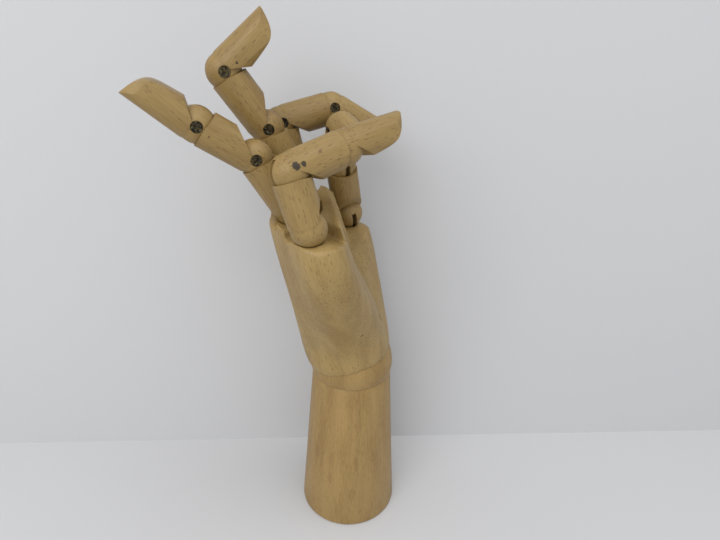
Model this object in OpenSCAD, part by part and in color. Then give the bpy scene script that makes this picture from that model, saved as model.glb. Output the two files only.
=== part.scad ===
// Jointed wooden hand on a turned stand: a left hand, about 0.3 m tall.
// Each finger is three turned pegs. The lower end of a peg is a ball that sits
// in a cup, and a flat tongue on the next peg down crosses a slot in the ball.
// The roots of the fingers and the wrist are balls drawn into cups by springs.
// The stand's axis is Z and the photographed side faces -Y. On each peg +Z points
// to the fingertip, -Y to the palm side and -X to the side of the screw heads.

/* [Stand] */
// Diameter of the stand where it rests on the table
stand_bottom_d = 60; // [56:0.5:80]
// Diameter of the stand at the wrist
stand_top_d = 46.4; // [44:0.2:54]
// Height of the stand
stand_h = 101; // [80:1:140]
// Bevel round the foot and the top rim
stand_bevel = 0.8; // [0.4:0.1:2]

/* [Wrist] */
// Diameter of the wrist ball
wrist_ball_d = 48; // [46:0.5:50]
// Height of the ball's centre over the top of the stand
wrist_ball_rise = 6; // [4:0.5:9]
// Diameter of the turned stub under the ball
wrist_stub_d = 26; // [24:0.5:32]
// Length of the stub
wrist_stub_l = 8; // [5:0.5:12]
// Outer diameter of the wrist spring
wrist_spring_d = 7; // [5:0.2:8]
// Length of the wrist spring
wrist_spring_l = 26; // [20:1:30]
// Turns of the wrist spring
wrist_spring_turns = 14; // [8:1:18]
// Diameter of the two cross pins that the wrist spring is drawn between
wrist_pin_d = 3; // [2:0.2:4]

/* [Palm] */
// Height of the middle knuckle over the wrist centre
palm_h = 108; // [102:1:118]
// Pitch of the knuckles across the palm
knuckle_pitch = 17.8; // [17.6:0.1:20]
// Wood left outside the knuckle cups
cup_wall = 3.2; // [2.5:0.1:5]
// Depth of the knuckle cups' rims under the balls' centres
rim_drop = 2.2; // [1.6:0.1:3]
// Slope of the rims on the palm side
rim_slope = 33; // [28:1:36]
// How far the heel stands out past the wrist ball, across the hand
heel_side = 1.6; // [1:0.1:6]
// How far the heel stands out past the wrist ball, front and back
heel_face = 0.9; // [0.6:0.1:4]
// Height of the heel's edge over the wrist centre
heel_edge = 3.5; // [2:0.5:8]
// Depth of the hollow of the palm
palm_hollow = 7; // [3:0.5:9]

/* [Pegs] */
// Diameter of the index, middle and ring fingers
finger_d = 17.2; // [15:0.1:17.2]
// Diameter of the little finger
little_d = 17; // [15:0.1:17.2]
// Diameter of the thumb
thumb_d = 17.4; // [15:0.1:18]
// Angle of the slanted cut on the palm side, from the peg's axis
cut_angle = 36; // [34:1:44]
// Distance of the slanted cut from the ball's centre
cut_offset = 1.0; // [0:0.1:1.5]
// Slope of a peg's cupped end, longer on the back of the hand
end_slope = 12; // [6:1:16]
// Distance from a ball's centre back to the cupped end
end_back = 3; // [2.6:0.1:4]
// Least distance from a ball's centre down to the cup's rim
end_least = 3.0; // [2:0.1:3.4]
// How much smaller a ball's radius is than its peg's
ball_step = 0.3; // [0.2:0.05:0.6]
// Clearance between a ball and its cup
ball_gap = 0.15; // [0.1:0.05:0.3]
// Thickness of a tongue
tongue_t = 2.4; // [1.6:0.1:3]
// Half width of a tongue
tongue_r = 4; // [3.4:0.1:4.6]
// Clearance round a tongue
tongue_gap = 0.25; // [0.15:0.05:0.4]

/* [Screws and springs] */
// Diameter of a screw head
screw_head_d = 5.2; // [4.4:0.1:5.6]
// Thickness of a screw head
screw_head_t = 1.5; // [1:0.1:2]
// Diameter of a screw's shank
screw_d = 2.4; // [1.8:0.1:3]
// Depth of a screw head's face under the ball's surface
screw_sink = 1; // [0.5:0.1:1.2]
// Diameter of the cross pin in a root ball
root_pin_d = 2; // [1.4:0.1:2.4]
// Diameter of the wire of a root spring
root_wire_d = 1.2; // [0.8:0.1:1.4]
// Wood left over the blind end of a root pin's hole
root_pin_skin = 1.5; // [1:0.1:2.5]
// Outer diameter of a root spring's coil
root_spring_d = 5; // [4:0.2:6]
// Length of a root spring's coil
root_spring_l = 12; // [8:1:16]
// Turns in a root spring's coil
root_spring_turns = 9; // [6:1:12]

/* [Index finger] */
// Root to middle joint
index_proximal_l = 30.5; // [29:0.5:40]
// Middle joint to end joint
index_middle_l = 28.2; // [26:0.5:36]
// End joint to fingertip
index_distal_l = 30.8; // [27:0.5:38]

/* [Middle finger] */
// Root to middle joint
middle_proximal_l = 35.2; // [29:0.5:44]
// Middle joint to end joint
middle_middle_l = 31; // [26:0.5:38]
// End joint to fingertip
middle_distal_l = 30.8; // [27:0.5:38]

/* [Ring finger] */
// Root to middle joint
ring_proximal_l = 34.5; // [29:0.5:42]
// Middle joint to end joint
ring_middle_l = 28.5; // [26:0.5:36]
// End joint to fingertip
ring_distal_l = 31; // [27:0.5:38]

/* [Little finger] */
// Root to middle joint
little_proximal_l = 31; // [26:0.5:36]
// Middle joint to end joint
little_middle_l = 24; // [21.5:0.5:30]
// End joint to fingertip
little_distal_l = 20.5; // [20:0.5:32]

/* [Thumb] */
// Root to middle joint
thumb_proximal_l = 26; // [26:0.5:36]
// Middle joint to end joint
thumb_middle_l = 29.3; // [27:0.5:36]
// End joint to tip
thumb_distal_l = 31.4; // [28:0.5:38]

/* [Hidden] */
$fn = 64;

// The pose in which the hand stands, in degrees.
wrist_turn = 72;
wrist_bend = -15;
wrist_side = -2;
FINGERS = ["index", "middle", "ring", "little", "thumb"];
THUMB = 4;
// Lean of each root's cup: across the hand, then towards the back.
cup_fan = [-6, -5.4, 0.5, -1.3, 1];
cup_back = [0, 0, 0, 0, 3];
// Turn in the cup, bend at the root, at the middle joint and at the end joint.
twist = [34, 34, 39, -44, 53];
root_bend = [-15, -8, 0, 15, -1];
mid_bend = [-26, -11, 89, 18, 88];
end_bend = [8, 84, 44, 89, 5];

// Place of each root in the palm: across the hand, towards the back, up.
ROOT_AT = [
    [-1.5 * knuckle_pitch + 1.66, -3.73, palm_h - 4.82],
    [-0.5 * knuckle_pitch + 2.06, -0.33, palm_h - 0.82],
    [0.5 * knuckle_pitch + 0.26, 8.27, palm_h - 2.42],
    [1.5 * knuckle_pitch + 1.16, -8.43, palm_h - 26.42],
    [-1.5 * knuckle_pitch - 19.34, -21.23, palm_h - 8.52]
];
peg_r = [finger_d / 2, finger_d / 2, finger_d / 2, little_d / 2, thumb_d / 2];
proximal_l = [index_proximal_l, middle_proximal_l, ring_proximal_l, little_proximal_l, thumb_proximal_l];
middle_l = [index_middle_l, middle_middle_l, ring_middle_l, little_middle_l, thumb_middle_l];
distal_l = [index_distal_l, middle_distal_l, ring_distal_l, little_distal_l, thumb_distal_l];
// How sharply each tip turns: a high power keeps the pad full up to the end.
tip_power = [12, 12, 12, 11, 7];

wrist_r = wrist_ball_d / 2;
wrist_z = stand_h + wrist_ball_rise;
seam = 0.25;
// Widest swing of the wrist, which its bores leave room for
wrist_swing = 24;
wrist_bore_r = wrist_spring_d / 2 + wrist_spring_l / 2 * sin(wrist_swing) + 0.6;
wrist_reach = wrist_spring_l / 2;
pin_clear = 0.4;
slot_t = tongue_t + 2 * tongue_gap;
root_slot_t = root_wire_d + 1.4;
// Reach of a root spring's hook over the ball's centre, with its clearance
root_hook = root_pin_d / 2 + 0.15 + root_wire_d + 0.3;
root_bore_r = root_spring_d / 2 + 0.3;
rim_swing = 34;
// How far below each ball's middle its rim is level, how far the cut above the rim
// reaches past the ball, and how far it also reaches to one side; the little finger's
// clears the thumb's column, and the middle and ring finger's leave the ridge by it.
rim_low = [rim_drop, rim_drop, rim_drop, rim_drop + 3, rim_drop + 2];
rim_reach = [[0, -2], [0, 0], [0, 0], [-9, -6], [0, 0]];
rim_width = [cup_wall + 2.5, 2.2, 2.2, cup_wall + 2.5, cup_wall + 2.5];
// Furthest that a peg leans towards the back of the hand
back_swing = 28;
// Distance from a root ball's centre down to its spring's coil
function coil_top(r) = r + ball_gap + 1.2;

wood = "burlywood";
wood_light = "wheat";
steel = "dimgray";
spring_steel = "silver";

// Frames that the pieces are drawn in.
module at_wrist() {
    translate([0, 0, wrist_z])
        rotate([0, 0, wrist_turn])
            children();
}

module at_palm() {
    at_wrist()
        rotate([wrist_bend, 0, 0])
            rotate([0, wrist_side, 0])
                children();
}

module at_cup(i) {
    at_palm()
        translate(ROOT_AT[i])
            rotate([-cup_back[i], cup_fan[i], 0])
                children();
}

module at_socket(i) {
    at_cup(i)
        rotate([0, 0, twist[i]])
            children();
}

module at_root(i) {
    at_socket(i)
        rotate([root_bend[i], 0, 0])
            children();
}

module at_middle(i) {
    at_root(i)
        translate([0, 0, proximal_l[i]])
            rotate([mid_bend[i], 0, 0])
                children();
}

module at_end(i) {
    at_middle(i)
        translate([0, 0, middle_l[i]])
            rotate([end_bend[i], 0, 0])
                children();
}

// Pieces of a peg, each in the peg's own frame.
module along_x(r, from, to) {
    translate([from, 0, 0])
        rotate([0, 90, 0])
            cylinder(r = r, h = to - from);
}

// A tilted block that covers the palm side of a plane close to the ball's centre.
module palm_side_cut(r) {
    rotate([cut_angle - 90, 0, 0])
        translate([-2 * r, -4 * r, -3 * r + cut_offset])
            cube([4 * r, 6 * r, 3 * r]);
}

// The shaft over a ball, with its shoulder and slanted cut, up to the height top.
module shaft(r, top) {
    shoulder = 3;
    ball_r = r - ball_step;
    difference() {
        rotate_extrude()
            polygon([[0, 0], [ball_r - ball_step, 0], [r, shoulder], [r, top], [0, top]]);
        palm_side_cut(r);
    }
    sphere(r = ball_r);
}

// The slot that a tongue or a spring's hook sweeps as the joint bends, from far
// forward to a little way back.
module swept_slot(r, width, clear) {
    reach = r + 1;
    s = sin(back_swing);
    c = cos(back_swing);
    rotate([90, 0, 90])
        translate([0, 0, -width / 2])
            linear_extrude(width)
                polygon([[-reach, clear], [clear * (1 - s) / c, clear],
                    [(clear + reach * s) / c, -reach], [-reach, -reach]]);
}

// The cup and the sloping end that hold the next ball, centred at its centre.
module cup_end(r) {
    sphere(r = r - ball_step + ball_gap);
    translate([0, 0, -end_back])
        rotate([end_slope, 0, 0])
            translate([-2 * r, -2 * r, 0])
                cube([4 * r, 4 * r, 3 * r]);
    translate([-2 * r, -2 * r, -end_least])
        cube([4 * r, 4 * r, 3 * r]);
}

module tongue(r) {
    difference() {
        union() {
            along_x(tongue_r, -tongue_t / 2, tongue_t / 2);
            translate([-tongue_t / 2, -tongue_r, -r - 1.5])
                cube([tongue_t, 2 * tongue_r, r + 1.5]);
        }
        along_x(screw_d / 2 + 0.05, -tongue_t, tongue_t);
    }
}

// Bore for a joint screw, with the seat of its head.
module screw_bore(r) {
    along_x(screw_d / 2, -r - 1, r - 1.5);
    along_x(screw_head_d / 2 + 0.1, -r - 1, -r + screw_sink + screw_head_t);
}

// The thumb's screws go in from its other side.
module head_side(i) {
    mirror([i == THUMB ? 1 : 0, 0, 0])
        children();
}

module screw(r) {
    difference() {
        union() {
            along_x(screw_d / 2, -r + screw_sink + 0.5, r - 1.5);
            along_x(screw_head_d / 2, -r + screw_sink, -r + screw_sink + screw_head_t);
        }
        for (a = [0, 90])
            rotate([a, 0, 0])
                translate([-r - 0.5, -0.35, -screw_head_d * 0.32])
                    cube([0.5 + screw_sink + 0.8, 0.7, screw_head_d * 0.64]);
    }
}

module proximal(i) {
    r = peg_r[i];
    color(wood_light)
        at_root(i) {
            difference() {
                shaft(r, proximal_l[i]);
                swept_slot(r, root_slot_t, root_hook);
                along_x(root_pin_d / 2, -r + root_pin_skin, r + 1);
                translate([0, 0, proximal_l[i]])
                    cup_end(r);
            }
            translate([0, 0, proximal_l[i]])
                tongue(r);
        }
}

module middle_peg(i) {
    r = peg_r[i];
    color(wood)
        at_middle(i) {
            difference() {
                shaft(r, middle_l[i]);
                swept_slot(r, slot_t, tongue_r + tongue_gap);
                head_side(i)
                    screw_bore(r);
                translate([0, 0, middle_l[i]])
                    cup_end(r);
            }
            translate([0, 0, middle_l[i]])
                tongue(r);
        }
}

module middle_screw(i) {
    color(steel)
        at_middle(i)
            head_side(i)
                screw(peg_r[i]);
}

module end_screw(i) {
    color(steel)
        at_end(i)
            head_side(i)
                screw(peg_r[i]);
}

// Outline of a fingertip from the side: straight along the back, its pad curving
// over to the end. Depth as a share of the radius at the share t of the length.
function pad(t, p) = 0.95 - 0.58 * t - 1.37 * pow(t, p);
function tip_w(t) = 1 - 0.6 * pow(t, 8);
tip_steps = 22;

module tip_side(r, l, p) {
    rotate([90, 0, 90])
        translate([0, 0, -r - 1])
            linear_extrude(2 * r + 2)
                polygon(concat([[r + 1, -r - 1], [r + 1, l], [r, l]],
                    [for (k = [tip_steps : -1 : 0])
                        let (t = sin(90 * k / tip_steps)) [-r * pad(t, p), l * t]],
                    [[-r - 1, 0], [-r - 1, -r - 1]]));
}

module tip_front(r, l) {
    rotate([90, 0, 0])
        translate([0, 0, -r - 1])
            linear_extrude(2 * r + 2)
                polygon(concat([[-r - 1, -r - 1], [r + 1, -r - 1], [r + 1, 0]],
                    [for (k = [0 : tip_steps]) let (t = sin(90 * k / tip_steps)) [r * tip_w(t), l * t]],
                    [for (k = [tip_steps : -1 : 0])
                        let (t = sin(90 * k / tip_steps)) [-r * tip_w(t), l * t]],
                    [[-r - 1, 0]]));
}

module distal(i) {
    r = peg_r[i];
    color(wood_light)
        at_end(i)
            difference() {
                intersection() {
                    shaft(r, distal_l[i]);
                    union() {
                        tip_side(r, distal_l[i], tip_power[i]);
                        sphere(r = r - ball_step);
                    }
                    tip_front(r, distal_l[i]);
                }
                swept_slot(r, slot_t, tongue_r + tongue_gap);
                head_side(i)
                    screw_bore(r);
            }
}

// A close-wound tension spring, drawn as a tube with a groove between turns.
module coil(outer_r, wire_d, l, turns) {
    step = l / turns;
    rotate_extrude()
        polygon(concat([[outer_r - wire_d, 0]],
            [for (k = [0 : turns - 1])
                each [[outer_r - wire_d * 0.2, k * step], [outer_r, (k + 0.5) * step]]],
            [[outer_r - wire_d * 0.2, l], [outer_r - wire_d, l]]));
}

// A root spring: its coil under the ball, and the hook round the ball's pin.
module root_spring(i) {
    r = peg_r[i];
    eye_r = root_pin_d / 2 + 0.15 + root_wire_d / 2;
    color(spring_steel)
        at_socket(i) {
            translate([0, 0, -coil_top(r) - root_spring_l])
                coil(root_spring_d / 2, root_wire_d, root_spring_l, root_spring_turns);
            translate([0, 0, -coil_top(r) - 0.6])
                cylinder(r = root_spring_d / 2 - root_wire_d * 0.5, h = 0.8);
            translate([0, 0, -coil_top(r)])
                cylinder(r = root_wire_d / 2, h = coil_top(r) - eye_r);
            rotate([0, 90, 0])
                rotate_extrude()
                    translate([eye_r, 0])
                        circle(r = root_wire_d / 2, $fn = 24);
        }
}

module root_pin(i) {
    color(steel)
        at_root(i)
            along_x(root_pin_d / 2, -peg_r[i] + root_pin_skin, peg_r[i] - 0.9);
}

// The palm, lofted from its heel to the knuckles, with a round column to each
// finger's cup.
palm_rings = 22;
palm_sides = 64;
heel_half_w = wrist_r + heel_side;
heel_half_t = wrist_r + heel_face;
heart = [-6, 3];
// Where each root's column starts in the heel, its radius there, and how much
// thicker than the wall it stands round its cup.
column_base = [[-2.9, 11.2], [-2.7, -0.1], [3.7, 3.3], [12.1, -4.9], [-2.2, -4.9]];
column_base_r = [14.5, 12.2, 12.2, 16.3, 20];
column_swell = [1.7, 0, 0, -1.4, 0];
thumb_lean = [2.2, -1.8];
section_sides = 36;
function share(u, a, b) = min(1, max(0, (u - a) / (b - a)));
function ease(t) = t * t * (3 - 2 * t);
function column_top(i) = [ROOT_AT[i].x, ROOT_AT[i].y] + (i == THUMB ? thumb_lean : [0, 0]);
// Column i at height u, as its centre and radius.
function column(i, u) = let (s = ease(share(u, 0, (i == THUMB ? 0.82 : 0.61) * palm_h)))
    [column_top(i) * s + column_base[i] * (1 - s),
        (peg_r[i] + cup_wall + column_swell[i]) * s + column_base_r[i] * (1 - s)];
// Reach from the heart, in each direction, of a skin stretched round some columns
// and the heel's oval at height u.
function heel_reach(d, u) = (1 - 0.54 * ease(share(u, 6, 90)))
    * norm([heel_half_w * d.x, heel_half_t * d.y]);
function skin(cols, u) = [for (k = [0 : section_sides - 1])
    let (b = 360 * k / section_sides, d = [cos(b), sin(b)])
    max(concat([heel_reach(d, u)], [for (c = cols) c[0] * d + c[1]])) - heart * d];
function exit_of(h, a) = min([for (k = [0 : section_sides - 1])
    let (c = cos(a - 360 * k / section_sides)) if (c > 0.15) h[k] / c]);
// The outline is that of three skins: from the thumb to the index finger, round the
// first three fingers, and out to the little finger. The hollow is where they meet.
function palm_exit(a, u) = let (heart_r = column(1, u)[1] - palm_hollow) max(
    exit_of(skin([column(0, u), column(THUMB, u), [heart, heart_r]], u), a),
    exit_of(skin([column(0, u), column(1, u), column(2, u)], u), a),
    exit_of(skin([column(2, u), column(3, u), [heart, heart_r]], u), a));
// Height of the palm's top: that of the nearest knuckles.
function near(x, y, i) = 1 / pow(pow(x - ROOT_AT[i].x, 2) + pow(y - ROOT_AT[i].y, 2) + 9, 2);
function palm_top(x, y) = let (w = [for (i = [0 : THUMB]) near(x, y, i)],
        z = [for (i = [0 : THUMB]) ROOT_AT[i].z + (i == THUMB ? -3 : 1)])
    (w * z) / (w * [1, 1, 1, 1, 1]) - 0.3 * max(0, -y - 24);
function rim_top(a) = let (r = palm_exit(a, 0.9 * palm_h) - 2)
    palm_top(heart.x + r * cos(a), heart.y + r * sin(a));
function palm_point(k, a, top) = let (t = k / palm_rings, u = heel_edge + (top - heel_edge) * t,
        r = palm_exit(a, u) - 2.4 * pow(t, 9) - 1.5 * pow(1 - t, 22))
    [heart.x + r * cos(a), heart.y + r * sin(a), u];
cap_rings = 4;
function cap_point(p, k) = let (s = 1 - k / (cap_rings + 1),
        x = heart.x + (p.x - heart.x) * s, y = heart.y + (p.y - heart.y) * s)
    [x, y, p.z * s * s + (palm_top(x, y) + 0.8) * (1 - s * s)];

module palm_block() {
    // The rows crowd together towards the thumb
    turns = [for (j = [0 : palm_sides - 1]) let (a = 360 * j / palm_sides) a - 25 * sin(a + 146)];
    tops = [for (a = turns) rim_top(a)];
    side = [for (k = [0 : palm_rings]) for (j = [0 : palm_sides - 1]) palm_point(k, turns[j], tops[j])];
    last = len(side) - palm_sides;
    cap = [for (k = [1 : cap_rings]) for (j = [0 : palm_sides - 1]) cap_point(side[last + j], k)];
    rows = palm_rings + cap_rings;
    pts = concat(side, cap,
        [[heart.x, heart.y, heel_edge], [heart.x, heart.y, palm_top(heart.x, heart.y) + 0.8]]);
    low = len(pts) - 2;
    high = len(pts) - 1;
    n = palm_sides;
    faces = concat(
        [for (k = [0 : rows - 1]) for (j = [0 : n - 1]) each let (m = (j + 1) % n)
            [[k * n + j, (k + 1) * n + m, k * n + m], [k * n + j, (k + 1) * n + j, (k + 1) * n + m]]],
        [for (j = [0 : n - 1]) [low, j, (j + 1) % n]],
        [for (j = [0 : n - 1]) [high, rows * n + (j + 1) % n, rows * n + j]]);
    polyhedron(pts, faces);
}

// What a root joint takes out of the palm: its cup and its spring's bore.
module root_recess(i) {
    r = peg_r[i];
    sphere(r = r - ball_step + ball_gap);
    translate([0, 0, -coil_top(r) - root_spring_l - 0.5])
        cylinder(r = root_bore_r, h = coil_top(r) + root_spring_l);
    // The rim is level behind the ball and slopes down on the palm side, so that
    // the peg can fold down to the palm.
    difference() {
        translate([0, 0, -2 * r])
            hull()
                for (at = [[0, 0], rim_reach[i]])
                    translate(at)
                        cylinder(r = r + rim_width[i] - (at == [0, 0] ? 0 : 2), h = 5 * r);
        translate([0, 0, rim_drop - rim_low[i]])
            rim_block(r);
    }
}

// What is left standing round a knuckle's ball: level behind it, and three slopes
// on the palm side that fall away from the ball's middle.
module rim_block(r) {
    far = 5 * r;
    fall = far * cos(rim_swing / 2) * tan(rim_slope);
    a = rim_swing;
    b = rim_swing / 2;
    ring = [[far * cos(a), far * sin(a), 0], [0, far, 0], [-far * cos(a), far * sin(a), 0],
        [-far * sin(b), -far * cos(b), -fall], [far * sin(b), -far * cos(b), -fall]];
    pts = concat([[0, 0, -rim_drop]],
        [for (p = ring) [p.x, p.y, p.z - rim_drop]],
        [for (p = ring) [p.x, p.y, -4 * r - far]]);
    polyhedron(pts, concat(
        [for (j = [0 : 4]) [0, 1 + (j + 1) % 5, 1 + j]],
        [for (j = [0 : 4]) each let (m = (j + 1) % 5) [[1 + j, 1 + m, 6 + m], [1 + j, 6 + m, 6 + j]]],
        [[6, 7, 8, 9, 10]]));
}

module palm() {
    color(wood)
        difference() {
            at_palm()
                palm_block();
            for (i = [0 : THUMB])
                at_cup(i)
                    root_recess(i);
            at_palm() {
                sphere(r = wrist_r + ball_gap);
                cylinder(r = wrist_bore_r, h = wrist_reach + 2 * wrist_pin_d + 12);
                translate([0, 0, wrist_reach + wrist_pin_d + 11])
                    rotate([90, 0, 0])
                        cylinder(r = wrist_pin_d / 2, h = 4 * heel_half_t, center = true);
            }
        }
}

module palm_anchor_pin() {
    color(steel)
        at_palm()
            translate([0, 0, wrist_reach + wrist_pin_d + 11])
                rotate([90, 0, 0])
                    cylinder(r = wrist_pin_d / 2, h = 2 * heel_half_t - 14, center = true);
}

module wrist_spring() {
    color(spring_steel)
        at_wrist()
            rotate([wrist_bend, 0, 0])
                translate([0, 0, -wrist_reach])
                    coil(wrist_spring_d / 2, 1.4, wrist_spring_l, wrist_spring_turns);
}

module wrist_ball() {
    stub_r = wrist_stub_d / 2;
    color(wood_light)
        at_wrist()
            difference() {
                union() {
                    intersection() {
                        sphere(r = wrist_r);
                        translate([0, 0, seam - wrist_ball_rise + wrist_r])
                            cube([wrist_ball_d, wrist_ball_d, wrist_ball_d], center = true);
                    }
                    translate([0, 0, -wrist_ball_rise - wrist_stub_l])
                        cylinder(r = stub_r, h = wrist_stub_l + wrist_ball_rise);
                }
                rotate_extrude()
                    polygon([[0, -wrist_r - 1], [wrist_bore_r, -wrist_r - 1],
                        [wrist_bore_r, -wrist_reach - 1],
                        [wrist_spring_d / 2 + 0.5, -1], [wrist_spring_d / 2 + 0.5, 1],
                        [wrist_bore_r, wrist_reach + 1], [wrist_bore_r, wrist_r + 1], [0, wrist_r + 1]]);
            }
}

stub_floor = stand_h - wrist_stub_l;
stand_pin_z = wrist_z - wrist_reach - wrist_pin_d - 3;

module stand() {
    bottom_r = stand_bottom_d / 2;
    top_r = stand_top_d / 2;
    color(wood)
        difference() {
            rotate_extrude()
                polygon([[0, 0], [bottom_r - stand_bevel, 0], [bottom_r, stand_bevel],
                    [top_r, stand_h - stand_bevel], [top_r - stand_bevel * 0.6, stand_h], [0, stand_h]]);
            translate([0, 0, stub_floor])
                cylinder(r = wrist_stub_d / 2 + 0.1, h = wrist_stub_l + 1);
            translate([0, 0, stand_pin_z - wrist_pin_d])
                cylinder(r = wrist_bore_r, h = wrist_stub_l + 2 * wrist_pin_d + 20);
            translate([0, 0, stand_pin_z])
                rotate([0, 90, 0])
                    cylinder(r = wrist_pin_d / 2, h = 2 * stand_bottom_d, center = true);
        }
}

module stand_anchor_pin() {
    color(steel)
        translate([0, 0, stand_pin_z])
            rotate([0, 90, 0])
                cylinder(r = wrist_pin_d / 2, h = stand_top_d - 4, center = true);
}

stand();
stand_anchor_pin();
wrist_ball();
wrist_spring();
palm();
palm_anchor_pin();
for (i = [0 : THUMB]) {
    proximal(i);
    middle_peg(i);
    distal(i);
    root_pin(i);
    root_spring(i);
    middle_screw(i);
    end_screw(i);
}
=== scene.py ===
"""Dresses a jointed wooden artist's hand and lights it on a plain table.

The hand is a left one, pinching, on a turned stand. Every length in this file is
in metres and every angle in degrees, unless a name says otherwise.
"""
from __future__ import annotations

import logging
import math
from dataclasses import dataclass, field
from enum import Enum
from typing import Any, Optional, Sequence

import bmesh
import bpy
from mathutils import Matrix, Vector

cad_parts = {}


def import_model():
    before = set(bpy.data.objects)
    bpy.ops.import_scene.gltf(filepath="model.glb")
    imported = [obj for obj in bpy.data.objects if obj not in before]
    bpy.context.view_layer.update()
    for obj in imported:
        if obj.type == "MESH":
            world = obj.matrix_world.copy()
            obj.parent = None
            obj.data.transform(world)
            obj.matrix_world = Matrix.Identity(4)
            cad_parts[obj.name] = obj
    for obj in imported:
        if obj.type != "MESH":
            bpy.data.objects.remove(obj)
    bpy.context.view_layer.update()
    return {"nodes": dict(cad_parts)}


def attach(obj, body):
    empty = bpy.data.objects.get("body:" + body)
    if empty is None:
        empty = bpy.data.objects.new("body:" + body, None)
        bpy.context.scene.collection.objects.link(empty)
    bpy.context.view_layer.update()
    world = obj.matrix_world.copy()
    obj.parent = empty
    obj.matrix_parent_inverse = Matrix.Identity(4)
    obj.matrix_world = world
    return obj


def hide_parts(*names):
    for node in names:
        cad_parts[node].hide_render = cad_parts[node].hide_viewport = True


log = logging.getLogger("wooden_hand")
MM = 0.001
Colour = tuple[float, float, float]


# Shader graphs


class Sock:
    """A shader socket, or a plain number, that can be used in a Python sum."""

    def __init__(self, graph: "Graph", source: Any) -> None:
        """Wraps source, an output socket or a number, for use in graph."""
        self.graph = graph
        self.source = source

    def _maths(self, operation: str, *others: Any, clamp: bool = False) -> "Sock":
        """Adds a Math node.

        Args:
            operation: The Math node's operation.
            others: The further values, each a Sock or a number.
            clamp: Whether the result is held between 0 and 1.

        Returns:
            The node's result.
        """
        inputs = {0: self}
        for place, other in enumerate(others, start=1):
            inputs[place] = other
        return self.graph.node("ShaderNodeMath", {"operation": operation, "use_clamp": clamp}, inputs)

    def __add__(self, other: Any) -> "Sock":
        """self + other."""
        return self._maths("ADD", other)

    __radd__ = __add__

    def __sub__(self, other: Any) -> "Sock":
        """self - other."""
        return self._maths("SUBTRACT", other)

    def __rsub__(self, other: Any) -> "Sock":
        """other - self."""
        return Sock(self.graph, other)._maths("SUBTRACT", self)

    def __mul__(self, other: Any) -> "Sock":
        """self * other."""
        return self._maths("MULTIPLY", other)

    __rmul__ = __mul__

    def __truediv__(self, other: Any) -> "Sock":
        """self / other."""
        return self._maths("DIVIDE", other)

    def __pow__(self, other: Any) -> "Sock":
        """self ** other."""
        return self._maths("POWER", other)

    def sine(self) -> "Sock":
        """The sine of self, in radians."""
        return self._maths("SINE")

    def smoothed(self, low: float, high: float, to_low: float = 0.0, to_high: float = 1.0) -> "Sock":
        """Maps self smoothly from one range to another.

        Args:
            low: The value that gives to_low.
            high: The value that gives to_high.
            to_low: The result at low.
            to_high: The result at high.

        Returns:
            The mapped value, held inside the new range.
        """
        return self.graph.node(
            "ShaderNodeMapRange",
            {"interpolation_type": "SMOOTHSTEP", "clamp": True},
            {"Value": self, "From Min": low, "From Max": high, "To Min": to_low, "To Max": to_high},
        )


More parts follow.
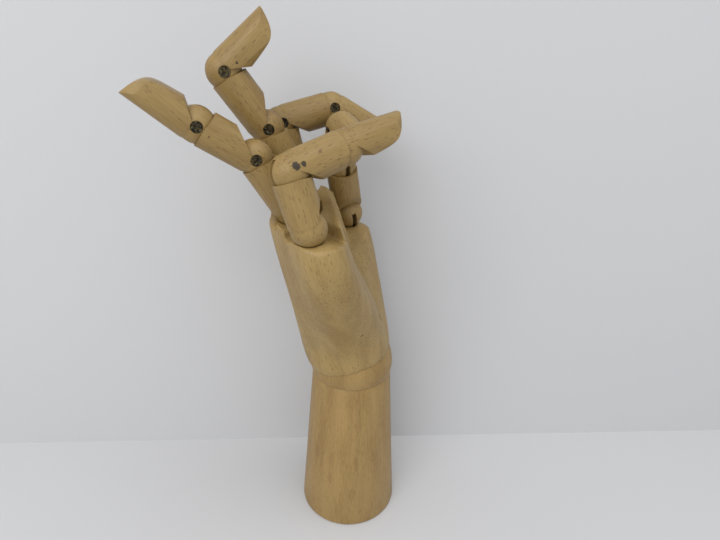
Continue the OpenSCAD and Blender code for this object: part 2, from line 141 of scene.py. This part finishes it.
class Graph:
    """The node tree of one material."""

    def __init__(self, name: str) -> None:
        """Starts an empty material called name."""
        self.material = bpy.data.materials.new(name)
        self.material.use_nodes = True
        self.tree = self.material.node_tree
        self.tree.nodes.clear()

    def node(self, kind: str, settings: Optional[dict[str, Any]] = None,
             inputs: Optional[dict[Any, Any]] = None, output: Any = 0) -> Sock:
        """Adds one node of any type.

        Args:
            kind: The node's type.
            settings: Its properties, set before its sockets.
            inputs: Its input values or links, by socket name or number.
            output: Which output to return, by name or number.

        Returns:
            The chosen output.
        """
        made = self.tree.nodes.new(kind)
        for key, value in (settings or {}).items():
            setattr(made, key, value)
        for key, value in (inputs or {}).items():
            source = value.source if isinstance(value, Sock) else value
            if isinstance(source, bpy.types.NodeSocket):
                self.tree.links.new(source, made.inputs[key])
            else:
                made.inputs[key].default_value = source
        return Sock(self, made.outputs[output])

    def noise(self, vector: Sock, scale: float, detail: float = 3.0, roughness: float = 0.5) -> Sock:
        """Adds a noise texture.

        Args:
            vector: Where the noise is read.
            scale: Its scale.
            detail: Its octaves.
            roughness: How strong the finer octaves are.

        Returns:
            Its value, about 0.3 to 0.7.
        """
        return self.node(
            "ShaderNodeTexNoise", {"noise_dimensions": "3D"},
            {"Vector": vector, "Scale": scale, "Detail": detail, "Roughness": roughness},
        )

    def stretched(self, vector: Sock, scale: Sequence[float], shift: Sequence[float] = (0, 0, 0)) -> Sock:
        """vector multiplied by scale, then moved by shift."""
        scaled = self.node("ShaderNodeVectorMath", {"operation": "MULTIPLY_ADD"},
                           {0: vector, 1: tuple(scale), 2: tuple(shift)})
        return scaled

    def mixed(self, amount: Any, first: Any, second: Any) -> Sock:
        """Mixes two colours.

        Args:
            amount: 0 for the first colour, 1 for the second.
            first: A colour or a Sock.
            second: A colour or a Sock.

        Returns:
            The mixed colour.
        """
        def colour(value: Any) -> Any:
            """value, as a colour with its alpha."""
            return value if isinstance(value, Sock) else (*value, 1.0)
        mix = self.tree.nodes.new("ShaderNodeMix")
        mix.data_type = "RGBA"
        for place, value in ((0, amount), (6, colour(first)), (7, colour(second))):
            source = value.source if isinstance(value, Sock) else value
            if isinstance(source, bpy.types.NodeSocket):
                self.tree.links.new(source, mix.inputs[place])
            else:
                mix.inputs[place].default_value = source
        return Sock(self, mix.outputs[2])

    def local(self, place: Matrix) -> Sock:
        """The shaded point in a piece's own frame, in millimetres.

        Args:
            place: The piece's frame in the object's frame.

        Returns:
            The point as a vector.
        """
        coords = self.node("ShaderNodeTexCoord", output="Object")
        mapped = self.node(
            "ShaderNodeMapping", {"vector_type": "TEXTURE"},
            {"Vector": coords, "Location": place.to_translation(), "Rotation": place.to_euler(),
             "Scale": (MM, MM, MM)},
        )
        return mapped

    def finish(self, **inputs: Any) -> bpy.types.Material:
        """Adds the surface shader and the output.

        Args:
            inputs: The shader's sockets, by name with underscores for spaces.

        Returns:
            The material.
        """
        named = {key.replace("_", " "): value for key, value in inputs.items()}
        surface = self.node("ShaderNodeBsdfPrincipled", {}, named)
        self.node_out(surface)
        return self.material

    def node_out(self, surface: Sock) -> None:
        """Links surface to the material's output."""
        out = self.tree.nodes.new("ShaderNodeOutputMaterial")
        self.tree.links.new(surface.source, out.inputs["Surface"])


@dataclass(frozen=True)
class Spot:
    """A knot or a stain on a piece, in the piece's own frame, in millimetres."""

    at: tuple[float, float, float]
    size: tuple[float, float, float]
    colour: Colour
    strength: float = 0.9


class Cut(Enum):
    """How a piece of wood was cut from the board: the side that its growth rings come from."""

    TURNED = (37.0, 12.0)
    CARVED = (-55.0, -38.0)
    PEG = (16.0, 25.0)


@dataclass(frozen=True)
class Beech:
    """Pale sealed beech with its short brown flecks."""

    pale: Colour = (0.352, 0.238, 0.089)
    tan: Colour = (0.252, 0.158, 0.052)
    ray: Colour = (0.105, 0.053, 0.017)
    roughness: float = 0.46
    gloss: float = 0.42
    ring_rate: float = 1.9
    ring_wander: float = 16.0
    ring_sharpness: float = 3.0
    ring_strength: float = 0.06
    broad_strength: float = 1.5
    fibre_strength: float = 1.5
    middle_tone: float = 0.46
    fleck_width: float = 0.30
    fleck_length: float = 1.7
    fleck_strength: float = 0.60
    relief: float = 0.22
    relief_depth: float = 0.12 * MM

    def material(self, name: str, place: Matrix, cut: Cut, seed: float,
                 spots: Sequence[Spot] = ()) -> bpy.types.Material:
        """Makes the wood of one piece.

        Args:
            name: The material's name.
            place: The piece's frame; its grain runs along Z.
            cut: The side that the growth rings come from.
            seed: Shifts the pattern, so that no two pieces match.
            spots: Knots and stains.

        Returns:
            The material.
        """
        g = Graph(name)
        point = g.local(place)
        shift = (seed * 13.7, seed * 7.1, seed * 29.3)
        wander = g.noise(g.stretched(point, (0.06, 0.06, 0.012), shift), 1.0, 2.0)
        pith_x, pith_y = cut.value
        flat = g.stretched(point, (1.0, 1.0, 0.0), (-pith_x, -pith_y, 0.0))
        from_pith = g.node("ShaderNodeVectorMath", {"operation": "LENGTH"}, {0: flat}, output="Value")
        rings = ((from_pith + wander * self.ring_wander) * self.ring_rate).sine() * 0.5 + 0.5
        late = rings ** self.ring_sharpness
        broad = g.noise(g.stretched(point, (0.11, 0.11, 0.018), shift), 1.0, 2.0)
        fibre = g.noise(g.stretched(point, (2.6, 2.6, 0.10), shift), 1.0, 3.0, 0.6)
        tone = ((broad - 0.5) * self.broad_strength + (fibre - 0.5) * self.fibre_strength
                + late * self.ring_strength + self.middle_tone)
        body = g.mixed(tone.smoothed(0.0, 1.0), self.pale, self.tan)
        flecks = self._flecks(g, point, shift)
        body = g.mixed(flecks * self.fleck_strength, body, self.ray)
        for spot in spots:
            body = g.mixed(self._spot(g, point, spot) * spot.strength, body, spot.colour)
        height = fibre * 0.5 - flecks * 0.35
        bump = g.node("ShaderNodeBump", {},
                      {"Strength": self.relief, "Distance": self.relief_depth, "Height": height})
        rough = (fibre - 0.5) * 0.20 + flecks * 0.10 + self.roughness
        return g.finish(Base_Color=body, Roughness=rough, Normal=bump, Specular_IOR_Level=self.gloss)

    def _flecks(self, g: Graph, point: Sock, shift: Sequence[float]) -> Sock:
        """The short brown dashes of beech's rays, from 0 to 1."""
        wide, long = 1.0 / (3.4 * self.fleck_width), 1.0 / (3.0 * self.fleck_length)
        cells = g.node(
            "ShaderNodeTexVoronoi", {"feature": "F1", "distance": "EUCLIDEAN"},
            {"Vector": g.stretched(point, (wide, wide, long), shift), "Scale": 1.0, "Randomness": 1.0},
            output="Distance",
        )
        gate = g.noise(g.stretched(point, (0.35, 0.35, 0.09), shift), 1.0, 2.0)
        return cells.smoothed(0.30, 0.16) * gate.smoothed(0.34, 0.54)

    def _spot(self, g: Graph, point: Sock, spot: Spot) -> Sock:
        """The mask of one knot or stain, from 0 to 1."""
        scale = tuple(1.0 / size for size in spot.size)
        moved = g.stretched(point, scale, tuple(-a * s for a, s in zip(spot.at, scale)))
        rough = g.noise(g.stretched(point, (0.8, 0.8, 0.8)), 1.0, 3.0)
        away = g.node("ShaderNodeVectorMath", {"operation": "LENGTH"}, {0: moved}, output="Value")
        return (away + (rough - 0.5) * 0.9).smoothed(1.05, 0.7)


@dataclass(frozen=True)
class Steel:
    """A bare or blackened steel."""

    colour: Colour
    roughness: float
    tarnish_and_glint: Colour
    patch_scale: float = 900.0
    scratch_scale: float = 6000.0
    relief: float = 0.15
    relief_depth: float = 0.05 * MM

    def material(self, name: str) -> bpy.types.Material:
        """Makes the steel in noise patches of a second tone, a darker tarnish on the wire and pins and a brighter
        painted glint on the screws, and returns it as material name.
        """
        g = Graph(name)
        coords = g.node("ShaderNodeTexCoord", output="Object")
        patch = g.noise(coords, self.patch_scale, 3.0, 0.6)
        fine = g.noise(coords, self.scratch_scale, 2.0)
        # Mixes in the second tone by patches: on the screws it is a painted glint, on the wire and pins a darker
        # tarnish.
        colour = g.mixed(patch.smoothed(0.4, 0.65), self.colour, self.tarnish_and_glint)
        bump = g.node("ShaderNodeBump", {}, {"Strength": self.relief, "Distance": self.relief_depth, "Height": fine})
        return g.finish(Base_Color=colour, Metallic=1.0, Roughness=(patch - 0.5) * 0.4 + self.roughness, Normal=bump)


STAND_BEECH = Beech(pale=(0.345, 0.222, 0.077), tan=(0.246, 0.146, 0.044), fleck_strength=0.24)
PALM_BEECH = Beech(pale=(0.366, 0.250, 0.090), tan=(0.262, 0.164, 0.051), fleck_strength=0.50)
PEG_BEECH = Beech(pale=(0.318, 0.212, 0.073), tan=(0.226, 0.140, 0.043), fleck_strength=0.56)
# The screws' second tone is brighter than their colour: a painted glint in patches.
SCREW_STEEL = Steel((0.026, 0.023, 0.020), 0.34, (0.150, 0.118, 0.058))
WIRE_STEEL = Steel((0.520, 0.510, 0.490), 0.28, (0.330, 0.315, 0.290))
PIN_STEEL = Steel((0.360, 0.350, 0.335), 0.34, (0.240, 0.225, 0.200))


# Mesh helpers


def new_piece(name: str, bm: bmesh.types.BMesh) -> bpy.types.Object:
    """Turns a bmesh into an object at the origin.

    Args:
        name: The object's name.
        bm: Its shape, which is freed.

    Returns:
        The object.
    """
    mesh = bpy.data.meshes.new(name)
    bm.to_mesh(mesh)
    bm.free()
    piece = bpy.data.objects.new(name, mesh)
    bpy.context.scene.collection.objects.link(piece)
    return piece


def shade(piece: bpy.types.Object, angle: float = 32.0) -> None:
    """Shades piece smooth, but for the edges sharper than angle."""
    piece.data.shade_smooth()
    piece.data.set_sharp_from_angle(angle=math.radians(angle))


def dress(piece: bpy.types.Object, material: bpy.types.Material) -> None:
    """Gives piece one material."""
    piece.data.materials.clear()
    piece.data.materials.append(material)


def merged_copy(node: bpy.types.Object) -> bmesh.types.BMesh:
    """A copy of a solid's triangles, joined up, with its flat faces whole."""
    bm = bmesh.new()
    bm.from_mesh(node.data)
    bmesh.ops.remove_doubles(bm, verts=bm.verts, dist=4e-6)
    bmesh.ops.dissolve_limit(bm, angle_limit=math.radians(0.4), verts=bm.verts, edges=bm.edges)
    return bm


def eased(node: bpy.types.Object, name: str, width: float, angle: float = 33.0) -> bpy.types.Object:
    """Copies a solid and breaks its sharp edges, as sanding does.

    Args:
        node: The solid.
        name: The new piece's name.
        width: How far back each edge is broken.
        angle: Edges that turn more than this are broken.

    Returns:
        The new piece.
    """
    piece = new_piece(name, merged_copy(node))
    bevel = piece.modifiers.new("broken edges", "BEVEL")
    bevel.width = width
    bevel.segments = 2
    bevel.profile = 0.5
    bevel.limit_method = "ANGLE"
    bevel.angle_limit = math.radians(angle)
    bevel.miter_outer = "MITER_ARC"
    bevel.harden_normals = False
    shade(piece, 40.0)
    return piece


def applied(piece: bpy.types.Object) -> bpy.types.Object:
    """Applies every modifier of piece and returns it."""
    graph = bpy.context.evaluated_depsgraph_get()
    mesh = bpy.data.meshes.new_from_object(piece.evaluated_get(graph))
    piece.modifiers.clear()
    piece.data = mesh
    return piece


def turn(x: float = 0.0, y: float = 0.0, z: float = 0.0) -> Matrix:
    """A turn about X, then Y, then Z, in degrees."""
    return (Matrix.Rotation(math.radians(z), 4, "Z") @ Matrix.Rotation(math.radians(y), 4, "Y")
            @ Matrix.Rotation(math.radians(x), 4, "X"))


def coil(bm: bmesh.types.BMesh, place: Matrix, radius: float, wire: float, length: float, turns: int) -> None:
    """Winds a close spring up the Z axis of place, from its origin.

    Args:
        bm: Where it is made.
        place: Its frame.
        radius: The middle of the wire's distance from the axis.
        wire: The wire's radius.
        length: The coil's length.
        turns: Its number of turns.
    """
    ring = bmesh.ops.create_circle(bm, segments=8, radius=wire,
                                   matrix=place @ Matrix.Translation((radius, 0, 0)) @ turn(x=90))
    steps = 22 * turns
    edges = list({edge for vert in ring["verts"] for edge in vert.link_edges})
    axis = (place.to_3x3() @ Vector((0, 0, 1))).normalized()
    bmesh.ops.spin(bm, geom=ring["verts"] + edges, cent=place.to_translation(), axis=axis,
                   dvec=axis * (length / steps), angle=math.tau * turns, steps=steps, use_merge=False)


def cap_open_ends(bm: bmesh.types.BMesh) -> None:
    """Closes the holes in bm and turns its faces outwards."""
    bmesh.ops.holes_fill(bm, edges=[edge for edge in bm.edges if edge.is_boundary], sides=0)
    bmesh.ops.recalc_face_normals(bm, faces=bm.faces)


def tube(bm: bmesh.types.BMesh, place: Matrix, wire: float, length: float) -> None:
    """Adds a straight wire up the Z axis of place, from its origin."""
    bmesh.ops.create_cone(bm, cap_ends=True, segments=12, radius1=wire, radius2=wire, depth=length,
                          matrix=place @ Matrix.Translation((0, 0, length / 2)))


def eye(bm: bmesh.types.BMesh, place: Matrix, radius: float, wire: float) -> None:
    """Adds a closed ring of wire about the X axis of place."""
    ring = bmesh.ops.create_circle(bm, segments=10, radius=wire, matrix=place @ Matrix.Translation((0, radius, 0)))
    edges = list({edge for vert in ring["verts"] for edge in vert.link_edges})
    axis = (place.to_3x3() @ Vector((1, 0, 0))).normalized()
    bmesh.ops.spin(bm, geom=ring["verts"] + edges, cent=place.to_translation(), axis=axis,
                   angle=math.tau, steps=28, use_merge=True)


# Sub-assemblies


@dataclass
class Pose:
    """How the hand stands on its stand."""

    wrist_height: float = 107.0 * MM
    turned: float = 72.0
    bent: float = -15.0
    leant: float = -2.0

    def wrist(self) -> Matrix:
        """The wrist's frame, turned with the hand."""
        return Matrix.Translation((0, 0, self.wrist_height)) @ turn(z=self.turned)

    def spring(self) -> Matrix:
        """The frame of the wrist's spring."""
        return self.wrist() @ turn(x=self.bent)

    def palm(self) -> Matrix:
        """The palm's frame: X across the hand, Y towards its back, Z to the fingers."""
        return self.spring() @ turn(y=self.leant)


@dataclass
class Finger:
    """One finger or the thumb, from its root in the palm to its tip."""

    name: str
    root: tuple[float, float, float]
    fan: float
    back: float
    twist: float
    bends: tuple[float, float, float]
    lengths: tuple[float, float]
    radius: float
    seed: float
    spots: dict[str, list[Spot]] = field(default_factory=dict)
    coil_radius: float = 2.5 * MM
    wire: float = 0.6 * MM
    coil_length: float = 12.0 * MM
    coil_turns: int = 9
    coil_below: float = 1.35 * MM
    eye_radius: float = 1.75 * MM
    edge: float = 0.28 * MM

    def socket(self, palm: Matrix) -> Matrix:
        """The frame of the root's cup, turned with the finger."""
        return (palm @ Matrix.Translation(Vector(self.root) * MM) @ turn(x=-self.back, y=self.fan)
                @ turn(z=self.twist))

    def pegs(self, palm: Matrix) -> dict[str, Matrix]:
        """The frame of each peg, at its ball's centre."""
        proximal = self.socket(palm) @ turn(x=self.bends[0])
        middle = proximal @ Matrix.Translation((0, 0, self.lengths[0] * MM)) @ turn(x=self.bends[1])
        distal = middle @ Matrix.Translation((0, 0, self.lengths[1] * MM)) @ turn(x=self.bends[2])
        return {"proximal": proximal, "middle": middle, "distal": distal}

    def build(self, nodes: dict[str, bpy.types.Object], palm: Matrix) -> None:
        """Makes the finger's pegs, screws, root pin and root spring.

        Args:
            nodes: The solids, by name.
            palm: The palm's frame.
        """
        for number, (peg, place) in enumerate(self.pegs(palm).items()):
            name = f"{self.name}_{peg}"
            wood = PEG_BEECH.material(f"{name} beech", place, Cut.PEG, self.seed + number * 1.3,
                                      self.spots.get(peg, ()))
            self._peg(nodes, name, wood)
        for joint, peg in (("middle", "middle"), ("end", "distal")):
            self._metal(nodes, f"{self.name}_{joint}_screw", f"{self.name}_{peg}", SCREW_STEEL, 0.09 * MM)
        self._metal(nodes, f"{self.name}_root_pin", f"{self.name}_proximal", PIN_STEEL, 0.15 * MM)
        self._spring(palm)

    def _peg(self, nodes: dict[str, bpy.types.Object], name: str, wood: bpy.types.Material) -> None:
        """Makes the peg of node name in wood."""
        piece = eased(nodes[name], f"{name}_peg", self.edge)
        dress(piece, wood)
        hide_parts(name)
        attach(piece, name)
        log.info("peg %s", name)

    def _metal(self, nodes: dict[str, bpy.types.Object], node: str, body: str, steel: Steel, edge: float) -> None:
        """Makes a screw or pin from node, riding on body."""
        piece = eased(nodes[node], f"{node}_turned", edge, 40.0)
        dress(piece, steel.material(f"{node} steel"))
        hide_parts(node)
        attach(piece, body)
        log.info("fastener %s", node)

    def _spring(self, palm: Matrix) -> None:
        """Makes the root's spring: its coil, its straight end and the eye round the pin."""
        place = self.socket(palm)
        top = -(self.radius + self.coil_below)
        bm = bmesh.new()
        coil(bm, place @ Matrix.Translation((0, 0, top - self.coil_length)), self.coil_radius - self.wire, self.wire,
             self.coil_length, self.coil_turns)
        cap_open_ends(bm)
        tube(bm, place @ Matrix.Translation((0, 0, top - 0.6 * MM)), self.wire,
             -top + 0.6 * MM - self.eye_radius)
        bmesh.ops.create_cone(bm, cap_ends=True, segments=20, radius1=self.coil_radius - self.wire,
                              radius2=self.coil_radius - self.wire, depth=0.5 * MM,
                              matrix=place @ Matrix.Translation((0, 0, top - 0.1 * MM)))
        eye(bm, place, self.eye_radius, self.wire)
        bmesh.ops.recalc_face_normals(bm, faces=bm.faces)
        node = f"{self.name}_root_spring"
        piece = new_piece(f"{node}_wire", bm)
        shade(piece, 45.0)
        dress(piece, WIRE_STEEL.material(f"{node} steel"))
        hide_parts(node)
        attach(piece, node)
        log.info("spring %s", node)


@dataclass
class Palm:
    """The carved palm, and the pin in it."""

    voxel: float = 0.75 * MM
    rubs: int = 7
    spots: list[Spot] = field(default_factory=list)

    def build(self, nodes: dict[str, bpy.types.Object], place: Matrix) -> None:
        """Makes the palm from its solid, rubbed smooth, and its anchor pin.

        Args:
            nodes: The solids, by name.
            place: The palm's frame.
        """
        piece = new_piece("palm_carving", merged_copy(nodes["palm"]))
        remesh = piece.modifiers.new("even skin", "REMESH")
        remesh.mode = "VOXEL"
        remesh.voxel_size = self.voxel
        applied(piece)
        bm = bmesh.new()
        bm.from_mesh(piece.data)
        for _ in range(self.rubs):
            bmesh.ops.smooth_vert(bm, verts=bm.verts, factor=0.5, use_axis_x=True, use_axis_y=True, use_axis_z=True)
        bm.to_mesh(piece.data)
        bm.free()
        shade(piece, 60.0)
        dress(piece, PALM_BEECH.material("palm beech", place, Cut.CARVED, 3.3, self.spots))
        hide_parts("palm")
        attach(piece, "palm")
        pin = eased(nodes["palm_anchor_pin"], "palm_anchor_pin_turned", 0.2 * MM)
        dress(pin, PIN_STEEL.material("palm anchor pin steel"))
        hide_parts("palm_anchor_pin")
        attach(pin, "palm")
        log.info("palm, %d faces", len(piece.data.polygons))


@dataclass
class Wrist:
    """The wrist ball and the spring inside it."""

    coil_radius: float = 3.5 * MM
    wire: float = 0.7 * MM
    coil_length: float = 26.0 * MM
    coil_turns: int = 14

    def build(self, nodes: dict[str, bpy.types.Object], pose: Pose) -> None:
        """Makes the ball and its spring in the given pose, from the solids in nodes."""
        ball = eased(nodes["wrist_ball"], "wrist_ball_turning", 0.35 * MM)
        dress(ball, STAND_BEECH.material("wrist ball beech", pose.wrist(), Cut.TURNED, 8.1))
        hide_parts("wrist_ball")
        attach(ball, "wrist_ball")
        bm = bmesh.new()
        start = pose.spring() @ Matrix.Translation((0, 0, -self.coil_length / 2))
        coil(bm, start, self.coil_radius - self.wire, self.wire, self.coil_length, self.coil_turns)
        cap_open_ends(bm)
        spring = new_piece("wrist_spring_wire", bm)
        shade(spring, 45.0)
        dress(spring, WIRE_STEEL.material("wrist spring steel"))
        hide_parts("wrist_spring")
        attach(spring, "wrist_spring")
        log.info("wrist ball and spring")


@dataclass
class Stand:
    """The turned stand and the pin across it."""

    spots: list[Spot] = field(default_factory=list)

    def build(self, nodes: dict[str, bpy.types.Object]) -> None:
        """Makes the stand and its pin from the solids in nodes."""
        piece = eased(nodes["stand"], "stand_turning", 0.3 * MM, 28.0)
        dress(piece, STAND_BEECH.material("stand beech", Matrix.Identity(4), Cut.TURNED, 5.4, self.spots))
        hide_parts("stand")
        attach(piece, "stand")
        pin = eased(nodes["stand_anchor_pin"], "stand_anchor_pin_turned", 0.2 * MM)
        dress(pin, PIN_STEEL.material("stand anchor pin steel"))
        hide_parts("stand_anchor_pin")
        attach(pin, "stand")
        log.info("stand")


@dataclass
class Studio:
    """The table, the wall, the lamps and the camera."""

    eye_at: tuple[float, float, float] = (0.00319, -0.262, 0.293)
    pitch: float = 25.9
    roll: float = 1.9
    lens: float = 26.5
    table_colour: Colour = (0.60, 0.598, 0.603)
    wall_colour: Colour = (0.585, 0.585, 0.590)
    wall_at: float = 0.048
    wall_yaw: float = 4.1
    wall_lean: float = 5.0
    window_at: tuple[float, float, float] = (-0.45, -0.95, 0.95)
    window_watts: float = 7.2
    window_width: float = 0.9
    ceiling_at: tuple[float, float, float] = (0.25, -0.15, 1.4)
    ceiling_watts: float = 4.5
    ceiling_width: float = 1.1
    room_colour: Colour = (0.95, 0.97, 1.0)
    room_strength: float = 0.83

    def build(self) -> None:
        """Makes everything round the hand."""
        self._camera()
        self._sheet("table", Matrix.Identity(4), self.table_colour, (1.6, 1.6), (0.0, 0.0))
        place = Matrix.Translation((0, self.wall_at, 0)) @ turn(x=90 - self.wall_lean, z=0)
        place = turn(z=self.wall_yaw) @ place
        self._sheet("wall", place, self.wall_colour, (2.4, 1.2), (0.0, 1.2))
        self._lamp("window", self.window_at, self.window_watts, self.window_width)
        self._lamp("ceiling", self.ceiling_at, self.ceiling_watts, self.ceiling_width)
        self._world()

    def _camera(self) -> None:
        """Places the camera at the photograph's angle."""
        ahead = Vector((0, math.cos(math.radians(self.pitch)), -math.sin(math.radians(self.pitch))))
        level = Vector((1, 0, 0))
        up = level.cross(ahead)
        roll = math.radians(self.roll)
        right = level * math.cos(roll) + up * math.sin(roll)
        top = right.cross(ahead)
        data = bpy.data.cameras.new("camera")
        data.lens = self.lens
        data.sensor_width = 36.0
        camera = bpy.data.objects.new("camera", data)
        turned = Matrix((right, top, -ahead)).transposed().to_4x4()
        camera.matrix_world = Matrix.Translation(self.eye_at) @ turned
        bpy.context.scene.collection.objects.link(camera)
        bpy.context.scene.camera = camera

    def _sheet(self, name: str, place: Matrix, colour: Colour, half: tuple[float, float],
               shift: tuple[float, float]) -> None:
        """Adds a plain sheet to the stage.

        Args:
            name: Its name.
            place: Its frame; the sheet lies in its XY plane.
            colour: Its colour.
            half: Its half width and half height.
            shift: Where its middle lies.
        """
        bm = bmesh.new()
        middle = Matrix.Translation((shift[0], shift[1], 0)) @ Matrix.Diagonal((half[0], half[1], 1, 1))
        bmesh.ops.create_grid(bm, x_segments=1, y_segments=1, size=1.0, matrix=place @ middle)
        piece = new_piece(name, bm)
        g = Graph(f"{name} paper")
        coords = g.node("ShaderNodeTexCoord", output="Object")
        patch = g.noise(coords, 5.0, 2.0)
        dim = tuple(value * 0.97 for value in colour)
        dress(piece, g.finish(Base_Color=g.mixed(patch, colour, dim), Roughness=0.9, Specular_IOR_Level=0.1))

    def _lamp(self, name: str, at: tuple[float, float, float], power: float, size: float) -> None:
        """Adds a soft square lamp that looks at the hand.

        Args:
            name: Its name.
            at: Where it is.
            power: Its power, in watts.
            size: Its width.
        """
        data = bpy.data.lights.new(name, "AREA")
        data.energy = power
        data.size = size
        lamp = bpy.data.objects.new(name, data)
        lamp.matrix_world = Matrix.Translation(at) @ (Vector((0, 0, 0.15)) - Vector(at)).to_track_quat(
            "-Z", "Y").to_matrix().to_4x4()
        bpy.context.scene.collection.objects.link(lamp)

    def _world(self) -> None:
        """Lights the room evenly from all round."""
        world = bpy.data.worlds.new("room")
        world.use_nodes = True
        inputs = world.node_tree.nodes["Background"].inputs
        inputs["Color"].default_value = (*self.room_colour, 1.0)
        inputs["Strength"].default_value = self.room_strength
        bpy.context.scene.world = world


KNOT: Colour = (0.012, 0.009, 0.007)
BROWN: Colour = (0.160, 0.085, 0.035)
STAIN: Colour = (0.160, 0.080, 0.020)

PALM_SPOTS = [
    Spot((-26.26, -23.31, 31.88), (1.3, 1.3, 0.9), BROWN),
    Spot((-25.20, -23.90, 33.40), (0.7, 0.7, 0.6), BROWN),
]
STAND_SPOTS = [
    Spot((-11.0, -26.0, 35.7), (2.0, 3.0, 5.0), STAIN, 0.20),
    Spot((3.0, -28.5, 25.5), (3.2, 3.0, 5.4), STAIN, 0.20),
    Spot((-9.9, -25.0, 50.5), (1.6, 3.0, 7.0), STAIN, 0.22),
    Spot((4.5, -26.5, 49.0), (1.4, 3.0, 6.0), STAIN, 0.22),
    Spot((15.2, -21.5, 50.5), (3.0, 3.0, 4.0), STAIN, 0.18),
    Spot((-19.0, -18.0, 50.5), (2.0, 3.0, 5.0), STAIN, 0.20),
]
THUMB_SPOTS = [
    Spot((-7.97, 2.61, 0.45), (2.0, 2.0, 2.1), KNOT),
    Spot((-8.40, 2.25, 3.90), (1.5, 1.5, 1.3), KNOT),
    Spot((-7.70, 4.05, 13.35), (0.8, 0.8, 0.9), BROWN),
]
INDEX_SPOTS = [Spot((-8.55, 0.93, 22.15), (0.7, 0.7, 0.6), BROWN)]
MIDDLE_SPOTS = [Spot((-8.55, -0.91, 6.61), (0.6, 0.6, 0.7), KNOT)]

FINGERS = (
    Finger("index", (-25.04, -3.73, 103.18), -6.0, 0.0, 34.0, (-15.0, -26.0, 8.0), (30.5, 28.2), 8.6 * MM, 1.1,
           {"middle": INDEX_SPOTS}),
    Finger("middle", (-6.84, -0.33, 107.18), -5.4, 0.0, 34.0, (-8.0, -11.0, 84.0), (35.2, 31.0), 8.6 * MM, 2.7,
           {"distal": MIDDLE_SPOTS}),
    Finger("ring", (9.16, 8.27, 105.58), 0.5, 0.0, 39.0, (0.0, 89.0, 44.0), (34.5, 28.5), 8.6 * MM, 4.2),
    Finger("little", (27.86, -8.43, 81.58), -1.3, 0.0, -44.0, (15.0, 18.0, 89.0), (31.0, 24.0), 8.5 * MM, 6.5),
    Finger("thumb", (-46.04, -21.23, 99.48), 1.0, 3.0, 53.0, (-1.0, 88.0, 5.0), (26.0, 29.3), 8.7 * MM, 9.4,
           {"middle": THUMB_SPOTS}),
)


def main() -> None:
    """Loads the solids, dresses each sub-assembly and lights the scene."""
    logging.basicConfig(level=logging.INFO, format="%(message)s")
    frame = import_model()
    nodes = frame["nodes"]
    bpy.context.scene.view_settings.view_transform = "Standard"
    Studio().build()
    pose = Pose()
    Stand(STAND_SPOTS).build(nodes)
    Wrist().build(nodes, pose)
    Palm(spots=PALM_SPOTS).build(nodes, pose.palm())
    for finger in FINGERS:
        finger.build(nodes, pose.palm())
    bpy.context.view_layer.update()


if __name__ == "__main__":
    main()
